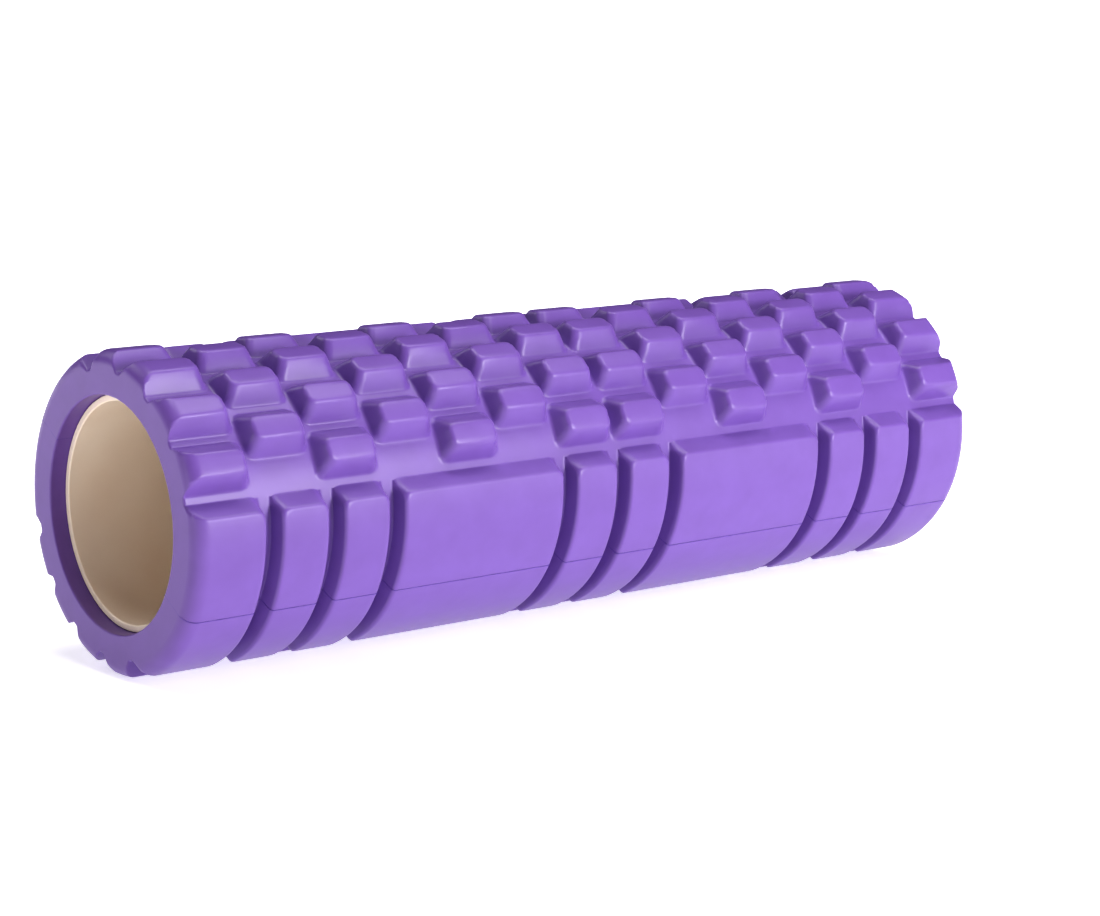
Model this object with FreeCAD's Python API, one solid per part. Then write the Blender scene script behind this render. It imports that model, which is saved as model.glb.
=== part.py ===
import FreeCAD, Part
import math
import os

# A massage roller that lies along X on the plane z = 0, with its origin under its middle.
# A rigid plastic tube is its core. Two equal halves of moulded foam are glued round the tube
# and to each other, along a front and a rear seam. Each half carries a field of tapered lugs
# in staggered rows, and half of a smooth panel, cut by grooves, on each side of that field.
# Lengths are in millimetres. Angles are in degrees round the axis, from +Y towards +Z.

os.makedirs("parts", exist_ok=True)

# Overall
ROLLER_LENGTH = 450.0          # foam, end face to end face
ROLLER_RADIUS = 70.0           # over the lugs and the panels
END_ROUND = 6.5                # rounding of the outer edge at each end
SEAM_ANGLE = 32.0              # the plane that holds both seams and the axis

# Foam wall and core
TREAD_DEPTH = 8.0              # height of lugs and panels above the foam base
ROOT_DEPTH = 2.5               # how far lugs and blocks run down into the base
BASE_WALL = 10.9               # foam under the tread
GLUE_FILM = 0.3                # glue on the tube and in the seams
GLUE_SETBACK = 12.0            # end of the tube's glue film inside the foam's end face
TUBE_WALL = 3.0
TUBE_RECESS = 7.3              # tube end inside the foam's end face
TUBE_CHAMFER = 0.4

# Tread, round the roller
LUG_PITCHES = 16               # lug pitches in a full turn
FIELD_ROWS = 4                 # lugs in a full column; every other column holds one fewer
NOTCH_MOUTH = 17.1             # between two crests, measured round the roller
FLANK_RUN = 5.8                # how far a long flank leans out over the tread depth

# Tread, along the roller
LUG_COLUMNS = 14               # an even number, so that the two ends match
LUG_GAP = 8.4                  # between the crests of two columns
LUG_END_RUN = 3.2              # how far a lug's short flank leans out over the tread depth
GROOVE_WIDTH = 8.0             # across the mouth of a panel groove
GROOVE_WALL_RUN = 0.9          # how far a groove wall leans over the tread depth
NARROW_BLOCK = 23.0            # the short blocks between two grooves
END_BLOCK = 33.5               # the block at each end
OUTER_GROOVES = 3              # grooves next to each end; three more are in the middle

# Rounding of the tread
LUG_CORNER_ROUND = 3.2         # upright corners of a lug
BLOCK_CORNER_ROUND = 4.0       # upright corners of a panel block
CREST_ROUND = 1.6              # edges round the crests
CORNER_SHARE = 0.4             # of a crest's width, the most that an upright corner takes
CREST_SHARE = 0.5              # of an upright corner, the most that the crest's edge takes

# Worked out from the sizes above
BASE_RADIUS = ROLLER_RADIUS - TREAD_DEPTH
BORE_RADIUS = BASE_RADIUS - BASE_WALL
TUBE_OUTER_RADIUS = BORE_RADIUS - GLUE_FILM
TUBE_INNER_RADIUS = TUBE_OUTER_RADIUS - TUBE_WALL
TUBE_LENGTH = ROLLER_LENGTH - 2 * TUBE_RECESS
GLUED_LENGTH = ROLLER_LENGTH - 2 * GLUE_SETBACK
HALF_LENGTH = ROLLER_LENGTH / 2
PITCH_ANGLE = 360.0 / LUG_PITCHES
FIELD_ANGLE = SEAM_ANGLE + 90.0
MOUTH_ANGLE = math.degrees(NOTCH_MOUTH / ROLLER_RADIUS)
LUG_HALF_ANGLE = (PITCH_ANGLE - MOUTH_ANGLE) / 2
PANEL_HALF_ANGLE = 90.0 - (FIELD_ROWS * PITCH_ANGLE + MOUTH_ANGLE) / 2
COLUMN_PITCH = ROLLER_LENGTH / LUG_COLUMNS
LUG_LENGTH = COLUMN_PITCH - LUG_GAP
GROOVE_PITCH = NARROW_BLOCK + GROOVE_WIDTH
OVERCUT = 1.0                  # how far a cutting tool runs past what it cuts
NEAR = 0.01                    # lengths closer than this count as equal
AXIS = FreeCAD.Vector(1, 0, 0)
CENTRE = FreeCAD.Vector(0, 0, 0)


def round_axis(shape, angle):
    """A copy of a shape that was built on +Z, turned to an angle from +Y towards +Z."""
    turned = shape.copy()
    turned.rotate(CENTRE, AXIS, angle - 90.0)
    return turned


def on_section(radius, angle):
    """A point of the cross-section, at an angle from +Z towards -Y."""
    turn = math.radians(angle)
    return FreeCAD.Vector(0, -radius * math.sin(turn), radius * math.cos(turn))


def spun(outline):
    """A solid of revolution round the axis, from (x, radius) points."""
    points = [FreeCAD.Vector(x, 0, radius) for x, radius in outline]
    face = Part.Face(Part.makePolygon(points + points[:1]))
    return face.revolve(CENTRE, AXIS, 360)


def tube(inner_radius, outer_radius, length):
    """A plain tube round the axis, centred on the origin."""
    start = FreeCAD.Vector(-length / 2, 0, 0)
    outside = Part.makeCylinder(outer_radius, length, start, AXIS)
    return outside.cut(Part.makeCylinder(inner_radius, length, start, AXIS))


def tread_prism(half_angle, length):
    """The cross-section of a lug or a panel, on +Z, drawn out along the roller."""
    depth = TREAD_DEPTH + ROOT_DEPTH
    run = FLANK_RUN * depth / TREAD_DEPTH
    root_radius = math.hypot(ROLLER_RADIUS - depth, run)
    root_angle = half_angle + math.degrees(math.atan2(run, ROLLER_RADIUS - depth))
    crest = [on_section(ROLLER_RADIUS, a) for a in (-half_angle, 0, half_angle)]
    root = [on_section(root_radius, a) for a in (-root_angle, 0, root_angle)]
    edges = [
        Part.Arc(*crest).toShape(),
        Part.makeLine(crest[2], root[2]),
        Part.Arc(*reversed(root)).toShape(),
        Part.makeLine(root[0], crest[0]),
    ]
    face = Part.Face(Part.Wire(edges))
    face.translate(FreeCAD.Vector(-length / 2, 0, 0))
    return face.extrude(FreeCAD.Vector(length, 0, 0))


def tread_ring(length, end_run):
    """A ring whose two ends lean out towards the root, as long as a crest at its top."""
    depth = TREAD_DEPTH + ROOT_DEPTH
    low = length / 2 + end_run * (depth + OVERCUT) / TREAD_DEPTH
    high = length / 2 - end_run * OVERCUT / TREAD_DEPTH
    inside = ROLLER_RADIUS - depth - OVERCUT
    outside = ROLLER_RADIUS + OVERCUT
    return spun([(-low, inside), (low, inside), (high, outside), (-high, outside)])


def at_crest(point):
    """Whether a point lies on the roller's outer surface."""
    return abs(math.hypot(point.y, point.z) - ROLLER_RADIUS) < NEAR


def tread_block(half_angle, length, end_run, corner_round):
    """A lug or a panel block on +Z with its middle over the origin, corners rounded."""
    reach = 2 * end_run * (TREAD_DEPTH + ROOT_DEPTH) / TREAD_DEPTH
    prism = tread_prism(half_angle, length + reach + OVERCUT)
    block = prism.common(tread_ring(length, end_run)).Solids[0]
    upright = [e for e in block.Edges if at_crest(e.Vertexes[0].Point) != at_crest(e.Vertexes[-1].Point)]
    crest_width = 2 * ROLLER_RADIUS * math.radians(half_angle)
    corner = min(corner_round, CORNER_SHARE * crest_width, CORNER_SHARE * length)
    block = block.makeFillet(corner, upright)
    crest = [e for e in block.Edges if all(at_crest(v.Point) for v in e.Vertexes)]
    return block.makeFillet(min(CREST_ROUND, CREST_SHARE * corner), crest)


def envelope():
    """The roller's outer form, with its two end edges rounded."""
    blank = Part.makeCylinder(ROLLER_RADIUS, ROLLER_LENGTH, FreeCAD.Vector(-HALF_LENGTH, 0, 0), AXIS)
    rims = [e for e in blank.Edges if len(e.Vertexes) == 1]
    return blank.makeFillet(END_ROUND, rims)


def block_spans():
    """(middle, length) of each panel block, from one end of the roller to the other."""
    half = GROOVE_WIDTH / 2
    outer = [HALF_LENGTH - END_BLOCK - half - k * GROOVE_PITCH for k in range(OUTER_GROOVES)]
    middles = sorted([0.0, GROOVE_PITCH, -GROOVE_PITCH] + outer + [-x for x in outer])
    edges = [-HALF_LENGTH] + [x + side * half for x in middles for side in (-1, 1)] + [HALF_LENGTH]
    return [((low + high) / 2, high - low) for low, high in zip(edges[::2], edges[1::2])]


def end_or_inner(middle, length, margin):
    """The same span, run past the roller's end if it reaches it, so that the end can be trimmed."""
    if abs(middle) + length / 2 < HALF_LENGTH - NEAR:
        return middle, length, False
    return middle + math.copysign(margin / 2, middle), length + margin, True


def tread_piece(angle, half_angle, middle, length, end_run, corner_round, form):
    """One lug or panel block in its place on the roller."""
    margin = corner_round + CREST_ROUND + 2 * end_run + OVERCUT
    middle, length, trimmed = end_or_inner(middle, length, margin)
    key = (round(half_angle, 6), round(length, 6))
    if key not in masters:
        masters[key] = tread_block(half_angle, length, end_run, corner_round)
    piece = round_axis(masters[key], angle)
    piece.translate(FreeCAD.Vector(middle, 0, 0))
    return piece.common(form).Solids[0] if trimmed else piece


def lug_field(form):
    """All lugs of one half, in staggered columns that mirror about the middle."""
    lugs = []
    for column in range(LUG_COLUMNS // 2):
        rows = FIELD_ROWS - column % 2
        is_end = column == LUG_COLUMNS // 2 - 1
        length = LUG_LENGTH + (LUG_GAP / 2 if is_end else 0.0)
        middle = (column + 0.5) * COLUMN_PITCH + (LUG_GAP / 4 if is_end else 0.0)
        for row in range(rows):
            angle = FIELD_ANGLE + (row - (rows - 1) / 2) * PITCH_ANGLE
            for side in (-1, 1):
                lugs.append(tread_piece(angle, LUG_HALF_ANGLE, side * middle, length,
                                        LUG_END_RUN, LUG_CORNER_ROUND, form))
    return lugs


def panel_blocks(angle, form):
    """The row of smooth blocks that straddles the seam at an angle."""
    return [tread_piece(angle, PANEL_HALF_ANGLE, middle, length, GROOVE_WALL_RUN,
                        BLOCK_CORNER_ROUND, form)
            for middle, length in block_spans()]


def seam_box(low, high):
    """A box along the whole seam plane, from low to high across it, towards the first field."""
    reach = ROLLER_RADIUS + OVERCUT
    length = ROLLER_LENGTH + 2 * OVERCUT
    corner = FreeCAD.Vector(-length / 2, -reach, low)
    return round_axis(Part.makeBox(length, 2 * reach, high - low, corner), FIELD_ANGLE)


def foam_half(base, blocks, form):
    """The half whose lug field faces FIELD_ANGLE."""
    keep = seam_box(GLUE_FILM / 2, ROLLER_RADIUS + OVERCUT)
    pieces = [solid for block in blocks for solid in block.common(keep).Solids]
    half = base.common(keep).fuse(pieces + lug_field(form))
    return half.removeSplitter().Solids[0]


def seam_films(base, blocks):
    """(rear, front) glue films, which follow the outline of the joint faces."""
    joint = base.fuse(blocks).common(seam_box(-GLUE_FILM / 2, GLUE_FILM / 2))
    return sorted(joint.removeSplitter().Solids, key=lambda s: -s.CenterOfMass.y)


def core_tube():
    """The plastic tube, its four end edges broken by a small chamfer."""
    blank = tube(TUBE_INNER_RADIUS, TUBE_OUTER_RADIUS, TUBE_LENGTH)
    rims = [e for e in blank.Edges if len(e.Vertexes) == 1]
    return blank.makeChamfer(TUBE_CHAMFER, rims)


masters = {}
outer_form = envelope()
sleeve_base = tube(BORE_RADIUS, BASE_RADIUS, ROLLER_LENGTH)
rear_blocks = panel_blocks(SEAM_ANGLE, outer_form)
front_blocks = panel_blocks(SEAM_ANGLE + 180.0, outer_form)
first_half = foam_half(sleeve_base, rear_blocks + front_blocks, outer_form)
rear_film, front_film = seam_films(sleeve_base, rear_blocks + front_blocks)

nodes = {
    "core_tube": core_tube(),
    "tube_glue_film": tube(TUBE_OUTER_RADIUS, BORE_RADIUS, GLUED_LENGTH),
    "foam_half_upper": first_half,
    "foam_half_lower": round_axis(first_half, 90.0 + 180.0),
    "seam_glue_rear": rear_film,
    "seam_glue_front": front_film,
}

for name, solid in nodes.items():
    solid.translate(FreeCAD.Vector(0, 0, ROLLER_RADIUS))
    solid.exportStep(f"parts/{name}.step")
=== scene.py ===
import math

import bmesh
import bpy
import numpy as np
from mathutils import Matrix, Vector


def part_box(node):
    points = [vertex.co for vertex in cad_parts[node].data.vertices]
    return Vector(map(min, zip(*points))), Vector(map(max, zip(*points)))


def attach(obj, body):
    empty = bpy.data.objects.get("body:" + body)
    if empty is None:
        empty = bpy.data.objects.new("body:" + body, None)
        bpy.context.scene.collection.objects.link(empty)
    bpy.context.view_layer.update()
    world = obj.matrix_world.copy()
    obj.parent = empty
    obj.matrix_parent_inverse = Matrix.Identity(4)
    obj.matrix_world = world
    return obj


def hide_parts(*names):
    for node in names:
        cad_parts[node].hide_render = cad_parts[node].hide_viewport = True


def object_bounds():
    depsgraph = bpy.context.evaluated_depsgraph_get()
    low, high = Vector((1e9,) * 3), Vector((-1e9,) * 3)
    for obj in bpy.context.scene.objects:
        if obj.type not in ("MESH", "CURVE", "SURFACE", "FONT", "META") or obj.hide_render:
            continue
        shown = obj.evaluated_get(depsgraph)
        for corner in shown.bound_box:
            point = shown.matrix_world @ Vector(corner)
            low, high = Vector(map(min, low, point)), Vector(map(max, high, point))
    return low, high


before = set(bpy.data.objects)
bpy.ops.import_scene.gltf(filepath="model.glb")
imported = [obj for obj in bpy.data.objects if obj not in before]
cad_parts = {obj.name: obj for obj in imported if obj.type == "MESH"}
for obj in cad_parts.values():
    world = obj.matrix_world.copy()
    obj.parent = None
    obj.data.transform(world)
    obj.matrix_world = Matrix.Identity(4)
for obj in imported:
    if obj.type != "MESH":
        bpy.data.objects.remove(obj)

# A foam massage roller lying along X. Lengths below are metres; angles are degrees round the
# axis, from +Y towards +Z, unless a name says otherwise.

cad_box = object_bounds()

MM = 0.001

# ---------------------------------------------------------------- sizes from the frame
sleeve_low, sleeve_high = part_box("foam_half_upper")
tube_low, tube_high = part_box("core_tube")
HALF_LENGTH = sleeve_high[0]
AXIS_Z = (tube_high[2] + tube_low[2]) / 2
ROLLER_RADIUS = AXIS_Z - cad_box[0][2]
BORE_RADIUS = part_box("tube_glue_film")[1][1]

# ---------------------------------------------------------------- tread sizes
TREAD = 8.0 * MM               # height of lugs and panels above the foam base
SEAM = 32.0                    # plane of the two seams
FIELD = SEAM + 90.0            # middle of the upper half's lug field
PITCH = 360.0 / 16             # between two lugs of a column, degrees
ROWS = 4                       # lugs in a full column
COLUMNS = 14
NOTCH_MOUTH = 17.1 * MM        # between two crests, round the roller
FLANK_RUN = 6.55 * MM          # long flank, measured round the roller at its full radius
LUG_GAP = 8.4 * MM             # between crests of neighbouring columns
LUG_END_RUN = 3.2 * MM         # short flank of a lug
GROOVE = 8.0 * MM              # width of a panel groove
GROOVE_RUN = 0.9 * MM          # lean of a groove wall
NARROW_BLOCK = 23.0 * MM
END_BLOCK = 33.5 * MM
END_ROUND = 6.5 * MM           # outer edge at each end of the sleeve
FLOOR_ROUND = 0.8 * MM         # edge of the base between the lugs, at each end
SEAM_GAP = 0.15 * MM           # half of the glue film in the seams
SEAM_ROUND = 0.4 * MM
LIP_ROUND = 0.6 * MM           # inner edge of the foam at each end
RIM = 0.35 * MM                # band of the end face that takes up the bend of its edges
LUG_PLAN, LUG_CREST, LUG_FOOT = 4.0 * MM, 2.8 * MM, 2.0 * MM
BLOCK_PLAN, BLOCK_CREST, BLOCK_FOOT = 4.0 * MM, 1.8 * MM, 0.8 * MM

BASE_RADIUS = ROLLER_RADIUS - TREAD
COLUMN = 2 * HALF_LENGTH / COLUMNS
LUG_HALF_LENGTH = (COLUMN - LUG_GAP) / 2
LUG_HALF_WIDTH = (ROLLER_RADIUS * math.radians(PITCH) - NOTCH_MOUTH) / 2
PANEL_HALF_WIDTH = ROLLER_RADIUS * math.radians(90 - ROWS * PITCH / 2) - NOTCH_MOUTH / 2


# ---------------------------------------------------------------- colours and studio
FOAM_LIGHT, FOAM_DEEP = "#7556A3", "#71529D"
TUBE_LIGHT, TUBE_DEEP = "#F5E6D3", "#EFDDC8"
GLUE_LIGHT, GLUE_DEEP = "#6A4AA6", "#57398F"
PAPER = "#EEEEEE"
GLOW_NEAR, GLOW_FAR = 0.66, 1.5    # painted light: the floor glows in place of lamp light on it, dimmer near the roller as painted shade, brightest away from it
# name, compass angle from +X towards +Y, height in degrees, distance, diameter, watts
LAMPS = [
    ("back_soft_box", 120, 40, 2.2, 1.0, 9.0),
    ("overhead_soft_box", 150, 84, 2.2, 1.0, 22.0),
    ("top_soft_box", -30, 66, 2.2, 1.0, 20.0),
    ("front_soft_box", -60, 40, 2.2, 1.0, 3.5),
    ("low_dish", -75, 10, 1.5, 0.4, 15.5),
    ("key_dish", -62, 20, 1.5, 0.4, 5.5),
    ("end_soft_box", 182, 6, 2.2, 0.8, 6.0),
]
FLOOR_SIZE = 12.0              # radius of the floor
FLOOR_WALL = 0.6               # low wall round its edge
FLOOR_GAP = 0.2 * MM           # between the floor and the roller
SURROUND = 0.02                # strength of the even light from all sides
CAMERA_PLACE = (-0.7978, -1.0125, 0.2817)
CAMERA_HEADING = 51.326        # degrees from +X towards +Y
CAMERA_DIP = 9.305             # degrees below the horizon
CAMERA_ROLL = -0.282           # degrees
CAMERA_LENS = 90.85            # mm, on a 36 mm wide sensor
CONTRAST = 0.85                # view gamma, crisp studio contrast


# ---------------------------------------------------------------- shape of the tread
def groove_middles():
    """Where the grooves cross the panels, along the roller."""
    step = NARROW_BLOCK + GROOVE
    outer = [HALF_LENGTH - END_BLOCK - GROOVE / 2 - k * step for k in range(3)]
    return np.array(sorted([0.0, step, -step] + outer + [-x for x in outer]))


def beyond_lug_end(x):
    """Distance past the nearest end of a lug crest, and the column's number from the middle."""
    number = np.minimum(np.floor(np.abs(x) / COLUMN), COLUMNS // 2 - 1)
    offset = np.abs(x) - (number + 0.5) * COLUMN
    beyond = np.abs(offset) - LUG_HALF_LENGTH
    outermost = (number == COLUMNS // 2 - 1) & (offset > 0)
    return np.where(outermost, -COLUMN / 2, beyond), number


def beyond_block_end(x):
    """Distance past the nearest end of a panel block."""
    nearest = np.abs(x[:, None] - groove_middles()[None, :]).min(axis=1)
    return GROOVE / 2 - nearest


def flank(d, run, crest_radius, foot_radius):
    """Height at a distance d past a crest edge, with a round crest edge and a round foot."""
    slope = np.arctan2(TREAD, run)
    top = crest_radius * np.tan(slope / 2)
    low = foot_radius * np.tan(slope / 2)
    on_crest = np.clip(d + top, 0, crest_radius)
    on_foot = np.clip(run + low - d, 0, foot_radius)
    crest = TREAD - crest_radius + np.sqrt(crest_radius ** 2 - on_crest ** 2)
    foot = foot_radius - np.sqrt(foot_radius ** 2 - on_foot ** 2)
    height = TREAD * (1 - d / run)
    height = np.where(d < -top + crest_radius * np.sin(slope), crest, height)
    return np.where(d > run + low - foot_radius * np.sin(slope), foot, height)


def raised(dx, dv, run_x, run_v, corner, crest_radius, foot_radius):
    """Height of a tapered block, from distances past its crest along and round the roller.
    lean is 0 on the crest's outline and 1 on the foot's; every outline has the same corners."""
    dx, dv = np.broadcast_arrays(dx, dv)
    low = np.zeros(dx.shape)
    high = np.full(dx.shape, 2.0)
    for _ in range(22):
        lean = (low + high) / 2
        u = np.maximum(dx - run_x * lean + corner, 0.0)
        v = np.maximum(dv - run_v * lean + corner, 0.0)
        outside = np.hypot(u, v) > corner
        low = np.where(outside, lean, low)
        high = np.where(outside, high, lean)
    u = np.maximum(dx - run_x * low + corner, 1e-9)
    v = np.maximum(dv - run_v * low + corner, 1e-9)
    run = (run_x * u + run_v * v) / np.hypot(u, v)
    inside = np.hypot(np.maximum(dx + corner, 0.0), np.maximum(dv + corner, 0.0)) - corner
    height = flank(np.where(inside < 0, inside, low * run), run, crest_radius, foot_radius)
    return np.clip(height, 0.0, TREAD)


def tread_radius(x, phi):
    """Radius of the foam at x, phi degrees from the middle of the lug field (0 to 90)."""
    lug_x, number = beyond_lug_end(x)
    full = (number % 2 == 0)[:, None]
    last = np.where(full, (ROWS - 1) / 2, ROWS / 2 - 1)
    row = np.where(full, np.floor(phi / PITCH) + 0.5, np.round(phi / PITCH))
    row = np.minimum(row, last)
    lug_v = ROLLER_RADIUS * np.radians(np.abs(phi - row * PITCH)) - LUG_HALF_WIDTH
    lug = raised(lug_x[:, None], lug_v, LUG_END_RUN, FLANK_RUN, LUG_PLAN, LUG_CREST, LUG_FOOT)
    block_v = (ROLLER_RADIUS * np.radians(90 - phi) - PANEL_HALF_WIDTH)[None, :]
    block = raised(beyond_block_end(x)[:, None], block_v, GROOVE_RUN, FLANK_RUN,
                   BLOCK_PLAN, BLOCK_CREST, BLOCK_FOOT)
    radius = BASE_RADIUS + np.maximum(lug, block)
    to_end = HALF_LENGTH - np.abs(x)[:, None]
    in_round = np.clip(END_ROUND - to_end, 0, END_ROUND)
    outer = ROLLER_RADIUS - END_ROUND + np.sqrt(END_ROUND ** 2 - in_round ** 2)
    in_floor = np.clip(FLOOR_ROUND - to_end, 0, FLOOR_ROUND)
    floor_drop = FLOOR_ROUND - np.sqrt(FLOOR_ROUND ** 2 - in_floor ** 2)
    to_seam = ROLLER_RADIUS * np.radians(90 - phi)[None, :] - SEAM_GAP
    in_seam = np.clip(SEAM_ROUND - to_seam, 0, SEAM_ROUND)
    seam_drop = SEAM_ROUND - np.sqrt(SEAM_ROUND ** 2 - in_seam ** 2)
    return np.minimum(radius - floor_drop, outer) - seam_drop


def merged(values, gap):
    """Sorted values with those that lie closer than gap to the one before left out."""
    kept = []
    for value in sorted(values):
        if not kept or value - kept[-1] > gap:
            kept.append(value)
    return kept


def lines_along():
    """Positions of the mesh lines along the roller: close together only where the form bends."""
    lug_steps = np.array([-3.2, -1.76, -1.25, -0.75, -0.25, 0.2, 0.65, 1.7, 2.7, 3.1, 3.5, 4.2]) * MM
    groove_steps = np.array([-4.0, -2.3, -1.35, -0.6, -0.1, 0.15, 0.8, 1.15, 1.6, 4.0]) * MM
    lines = []
    for column in range(COLUMNS):
        middle = (column + 0.5) * COLUMN - HALF_LENGTH
        ends = (LUG_HALF_LENGTH + lug_steps).tolist()
        lines += [middle] + [middle + side * end for side in (-1, 1) for end in ends]
    for middle in groove_middles():
        lines += [middle + side * (GROOVE / 2 - step) for side in (-1, 1) for step in groove_steps]
    inner = [x for x in merged(lines, 0.28 * MM) if abs(x) < HALF_LENGTH - END_ROUND]
    turns = np.radians(np.linspace(0, 90, 9))
    end = HALF_LENGTH - END_ROUND * (1 - np.sin(turns))
    return np.array(sorted(inner + end.tolist() + (-end).tolist()))


def lines_round():
    """Degrees from the middle of the lug field to the seam, for the mesh lines of one quarter."""
    edge_steps = np.array([-3.2, -1.23, -0.8, -0.35, 0.1, 0.45, 0.8])
    foot_steps = np.array([-0.6, -0.2, 0.15, 0.55, 0.95]) + FLANK_RUN / MM
    steps = np.degrees(np.concatenate([edge_steps, foot_steps]) * MM / ROLLER_RADIUS)
    lug_edge = math.degrees(LUG_HALF_WIDTH / ROLLER_RADIUS)
    panel_edge = 90 - math.degrees(PANEL_HALF_WIDTH / ROLLER_RADIUS)
    lines = [0.0]
    for half_step in range(2 * ROWS - 1):
        middle = half_step * PITCH / 2
        lines += [middle] + [middle + side * (lug_edge + s) for side in (-1, 1) for s in steps]
    lines = [a for a in lines if 0 <= a < ROWS * PITCH / 2]
    lines += [panel_edge - s for s in steps]
    lines.append(panel_edge - steps.mean())
    inner = merged(lines, 0.26)
    top = np.linspace(panel_edge + 3.4, 89.0, 11).tolist()
    gap = math.degrees(SEAM_GAP / ROLLER_RADIUS)
    round_off = math.degrees(SEAM_ROUND / ROLLER_RADIUS)
    near_seam = [90 - gap - round_off * t for t in (1.0, 0.5, 0.15, 0.0)]
    return np.array([a for a in inner if a < panel_edge + 3.0] + top + near_seam)


def foam_half(name, turned):
    """One moulded half: a grid wrapped into a closed loop round its section, then capped.
    The grid's last row at each end lies in the end face, a rim's width in from its edges."""
    along = lines_along()
    along = np.concatenate([along[:1], along, along[-1:]])
    rim = np.where(np.arange(len(along)) % (len(along) - 1) == 0, RIM, 0.0)
    quarter = lines_round()
    outside = np.concatenate([quarter[::-1], -quarter[1:]])
    outer = tread_radius(along, np.abs(outside)) - rim[:, None]
    lip = np.clip(LIP_ROUND - (HALF_LENGTH - np.abs(along)), 0, LIP_ROUND)
    bore = (BORE_RADIUS + rim + LIP_ROUND - np.sqrt(LIP_ROUND ** 2 - lip ** 2))[:, None]
    across = np.linspace(0, 1, 6)[None, 1:-1]
    inside = np.linspace(-90, 90, 25)
    radius = np.hstack([outer, outer[:, -1:] * (1 - across) + bore * across,
                        np.repeat(bore, len(inside), axis=1),
                        bore * (1 - across) + outer[:, :1] * across, outer[:, :1]])
    seam_side = np.full(across.size, 90.0)
    phi = np.concatenate([outside, -seam_side, inside, seam_side, outside[:1]])[None, :]
    gap = np.degrees(np.arcsin((SEAM_GAP + rim[:, None]) / radius))
    shrink = 1 - np.degrees(rim[:, None] / BASE_RADIUS) / 90
    on_seam = np.abs(phi) > outside[0] - 0.001
    phi = np.where(on_seam, np.sign(phi) * (90 - gap), phi * shrink)
    angle = np.radians(FIELD + turned + phi)

    bpy.ops.object.select_all(action="DESELECT")
    bpy.ops.mesh.primitive_grid_add(x_subdivisions=radius.shape[1] - 1, y_subdivisions=len(along) - 1,
                                    size=2 * HALF_LENGTH, location=(0, 0, 0))
    half = bpy.context.object
    half.name = name
    half.data.name = name
    place = np.stack([along[:, None] * np.ones(radius.shape), radius * np.cos(angle),
                      AXIS_Z + radius * np.sin(angle)], axis=-1)
    half.data.vertices.foreach_set("co", place.astype(np.float32).ravel())
    half.data.update()
    bpy.ops.object.mode_set(mode="EDIT")
    bpy.ops.mesh.select_all(action="SELECT")
    bpy.ops.mesh.remove_doubles(threshold=0.002 * MM)
    for side in (-1, 1):
        cap_end(half, side * HALF_LENGTH)
    bpy.ops.mesh.select_all(action="SELECT")
    bpy.ops.mesh.normals_make_consistent(inside=False)
    bpy.ops.object.mode_set(mode="OBJECT")
    bpy.ops.object.shade_smooth_by_angle(angle=math.radians(42))
    return half


def cap_end(half, x):
    """Close the open outline at one end with a flat face."""
    bpy.ops.mesh.select_all(action="DESELECT")
    bpy.ops.mesh.select_mode(type="EDGE")
    mesh = bmesh.from_edit_mesh(half.data)
    for edge in mesh.edges:
        at_end = all(abs(v.co.x - x) < 0.001 * MM for v in edge.verts)
        edge.select_set(at_end and edge.is_boundary)
    bmesh.update_edit_mesh(half.data)
    bpy.ops.mesh.edge_face_add()


# ---------------------------------------------------------------- materials
def linear(colour):
    """An sRGB hex colour as linear red, green, blue and alpha."""
    parts = [int(colour[i:i + 2], 16) / 255 for i in (1, 3, 5)]
    return [c / 12.92 if c <= 0.04045 else ((c + 0.055) / 1.055) ** 2.4 for c in parts] + [1.0]


def node(tree, kind, settings=(), values=(), links=()):
    """Add a shader node, set its properties and its sockets, and link its inputs."""
    made = tree.nodes.new(kind)
    for key, value in dict(settings).items():
        setattr(made, key, value)
    for key, value in dict(values).items():
        made.inputs[key].default_value = value
    for key, source in dict(links).items():
        tree.links.new(source, made.inputs[key])
    return made


def new_material(name):
    material = bpy.data.materials.new(name)
    material.use_nodes = True
    material.node_tree.nodes.clear()
    return material, material.node_tree


def ramp(tree, source, stops):
    """A colour ramp over a value, from (position, sRGB colour) stops."""
    made = node(tree, "ShaderNodeValToRGB", links={"Fac": source})
    while len(made.color_ramp.elements) < len(stops):
        made.color_ramp.elements.new(0.5)
    for element, (position, colour) in zip(made.color_ramp.elements, stops):
        element.position = position
        element.color = linear(colour)
    return made


def finish_material(tree, shader):
    out = node(tree, "ShaderNodeOutputMaterial")
    tree.links.new(shader.outputs["BSDF"], out.inputs["Surface"])


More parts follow.
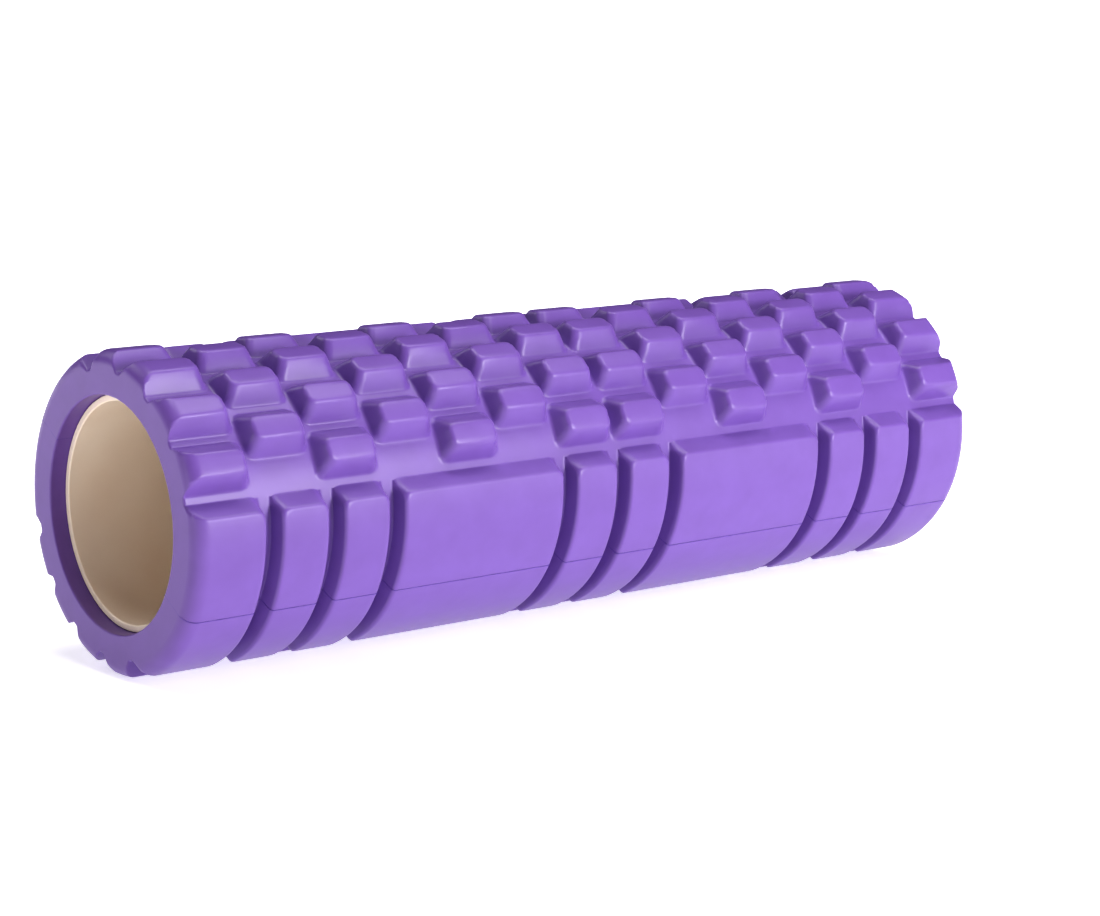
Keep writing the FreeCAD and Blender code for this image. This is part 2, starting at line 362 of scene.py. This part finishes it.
def eva_foam():
    """Moulded EVA foam: a closed skin with a fine pebbled grain, satin, faintly mottled."""
    material, tree = new_material("eva_foam_lilac")
    place = node(tree, "ShaderNodeTexCoord").outputs["Object"]
    mottle = node(tree, "ShaderNodeTexNoise", values={"Scale": 1 / (14 * MM), "Detail": 3.0},
                  links={"Vector": place})
    colour = ramp(tree, mottle.outputs["Fac"], [(0.3, FOAM_DEEP), (0.7, FOAM_LIGHT)])
    # skin pebbles are 0.3 mm across, drawn at 0.6 mm so that they show
    pebbles = node(tree, "ShaderNodeTexNoise", values={"Scale": 1 / (0.6 * MM), "Detail": 2.0},
                   links={"Vector": place})
    ripple = node(tree, "ShaderNodeTexNoise", values={"Scale": 1 / (9 * MM), "Detail": 1.0},
                  links={"Vector": place})
    grain = node(tree, "ShaderNodeBump", values={"Strength": 0.25, "Distance": 0.05 * MM},
                 links={"Height": pebbles.outputs["Fac"]})
    skin = node(tree, "ShaderNodeBump", values={"Strength": 0.3, "Distance": 0.25 * MM},
                links={"Height": ripple.outputs["Fac"], "Normal": grain.outputs["Normal"]})
    rough = node(tree, "ShaderNodeMapRange", values={"To Min": 0.31, "To Max": 0.39},
                 links={"Value": mottle.outputs["Fac"]})
    shader = node(tree, "ShaderNodeBsdfPrincipled", values={"IOR": 1.49, "Specular IOR Level": 0.36},
                  links={"Base Color": colour.outputs["Color"], "Roughness": rough.outputs["Result"],
                         "Normal": skin.outputs["Normal"]})
    finish_material(tree, shader)
    return material


def abs_tube():
    """Extruded ABS: cream, satin, with faint die lines that run along the tube."""
    material, tree = new_material("extruded_abs_cream")
    place = node(tree, "ShaderNodeTexCoord").outputs["Object"]
    stretched = node(tree, "ShaderNodeMapping", values={"Scale": (0.01, 1.0, 1.0)},
                     links={"Vector": place})
    lines = node(tree, "ShaderNodeTexNoise", values={"Scale": 1 / (1.2 * MM), "Detail": 2.0},
                 links={"Vector": stretched.outputs["Vector"]})
    cloud = node(tree, "ShaderNodeTexNoise", values={"Scale": 1 / (35 * MM), "Detail": 2.0},
                 links={"Vector": place})
    colour = ramp(tree, cloud.outputs["Fac"], [(0.3, TUBE_DEEP), (0.7, TUBE_LIGHT)])
    relief = node(tree, "ShaderNodeBump", values={"Strength": 0.2, "Distance": 0.04 * MM},
                  links={"Height": lines.outputs["Fac"]})
    rough = node(tree, "ShaderNodeMapRange", values={"To Min": 0.3, "To Max": 0.42},
                 links={"Value": lines.outputs["Fac"]})
    shader = node(tree, "ShaderNodeBsdfPrincipled", values={"IOR": 1.54},
                  links={"Base Color": colour.outputs["Color"], "Roughness": rough.outputs["Result"],
                         "Normal": relief.outputs["Normal"]})
    finish_material(tree, shader)
    return material


def contact_glue():
    """Cured contact adhesive: a thin dark film, smooth and slightly uneven."""
    material, tree = new_material("contact_adhesive_violet")
    place = node(tree, "ShaderNodeTexCoord").outputs["Object"]
    uneven = node(tree, "ShaderNodeTexNoise", values={"Scale": 1 / (3 * MM), "Detail": 2.0},
                  links={"Vector": place})
    colour = ramp(tree, uneven.outputs["Fac"], [(0.3, GLUE_DEEP), (0.7, GLUE_LIGHT)])
    relief = node(tree, "ShaderNodeBump", values={"Strength": 0.3, "Distance": 0.05 * MM},
                  links={"Height": uneven.outputs["Fac"]})
    shader = node(tree, "ShaderNodeBsdfPrincipled", values={"IOR": 1.5, "Roughness": 0.35},
                  links={"Base Color": colour.outputs["Color"], "Normal": relief.outputs["Normal"]})
    finish_material(tree, shader)
    return material


def dress(thing, material):
    thing.data.materials.clear()
    thing.data.materials.append(material)


# ---------------------------------------------------------------- studio
def studio():
    """A pale floor whose glow is painted light, dimmer near the roller as painted shade, with a low
    wall round it, a faint even surround and soft round lamps.
    """
    bpy.ops.object.select_all(action="DESELECT")
    bpy.ops.mesh.primitive_circle_add(vertices=96, radius=FLOOR_SIZE, fill_type="NGON",
                                      location=(0, 0, cad_box[0][2] - FLOOR_GAP))
    floor = bpy.context.object
    floor.name = "studio_floor"
    bpy.ops.object.mode_set(mode="EDIT")
    bpy.ops.mesh.select_all(action="SELECT")
    bpy.ops.mesh.extrude_edges_move(TRANSFORM_OT_translate={"value": (0, 0, FLOOR_WALL)})
    bpy.ops.object.mode_set(mode="OBJECT")
    material, tree = new_material("studio_paper_painted_glow")
    place = node(tree, "ShaderNodeTexCoord").outputs["Object"]
    far = node(tree, "ShaderNodeVectorMath", settings={"operation": "LENGTH"}, links={0: place})
    # painted light: the floor's glow stands in for lamp light on it, weaker near the roller as
    # painted shade round it
    glow = node(tree, "ShaderNodeMapRange", settings={"interpolation_type": "SMOOTHSTEP"},
                values={"From Min": 0.35, "From Max": 1.3, "To Min": GLOW_NEAR, "To Max": GLOW_FAR},
                links={"Value": far.outputs["Value"]})
    shader = node(tree, "ShaderNodeBsdfPrincipled",
                  values={"Base Color": linear(PAPER), "Roughness": 0.9,
                          "Emission Color": linear("#FFFFFF")},
                  links={"Emission Strength": glow.outputs["Result"]})
    finish_material(tree, shader)
    dress(floor, material)

    world = bpy.data.worlds.new("studio_surround")
    world.use_nodes = True
    world.node_tree.nodes["Background"].inputs["Color"].default_value = linear("#FFFFFF")
    world.node_tree.nodes["Background"].inputs["Strength"].default_value = SURROUND
    bpy.context.scene.world = world

    for name, turn, height, distance, size, power in LAMPS:
        light = bpy.data.lights.new(name, "AREA")
        light.shape = "DISK"
        light.size = size
        light.energy = power
        lamp = bpy.data.objects.new(name, light)
        toward = Vector((math.cos(math.radians(turn)) * math.cos(math.radians(height)),
                         math.sin(math.radians(turn)) * math.cos(math.radians(height)),
                         math.sin(math.radians(height))))
        lamp.location = Vector((0, 0, AXIS_Z)) + toward * distance
        lamp.rotation_euler = toward.to_track_quat("Z", "Y").to_euler()
        bpy.context.collection.objects.link(lamp)


def camera():
    """A long lens from the left front, a little above the roller."""
    lens = bpy.data.cameras.new("camera")
    lens.sensor_width = 36.0
    lens.lens = CAMERA_LENS
    seen = bpy.data.objects.new("camera", lens)
    seen.location = CAMERA_PLACE
    heading = Matrix.Rotation(math.radians(CAMERA_HEADING - 90), 3, "Z")
    tilt = Matrix.Rotation(math.radians(90 - CAMERA_DIP), 3, "X")
    roll = Matrix.Rotation(math.radians(CAMERA_ROLL), 3, "Z")
    seen.rotation_euler = (heading @ tilt @ roll).to_euler()
    bpy.context.collection.objects.link(seen)
    bpy.context.scene.camera = seen


# ---------------------------------------------------------------- build
foam = eva_foam()
upper = foam_half("foam_sleeve_upper", 0.0)
lower = foam_half("foam_sleeve_lower", 180.0)
for piece, cad_node in ((upper, "foam_half_upper"), (lower, "foam_half_lower")):
    dress(piece, foam)
    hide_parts(cad_node)
    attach(piece, "root")

dress(bpy.data.objects["core_tube"], abs_tube())
glue = contact_glue()
for cad_node in ("tube_glue_film", "seam_glue_rear", "seam_glue_front"):
    dress(bpy.data.objects[cad_node], glue)

studio()
camera()
bpy.context.scene.view_settings.view_transform = "Standard"
bpy.context.scene.view_settings.gamma = CONTRAST
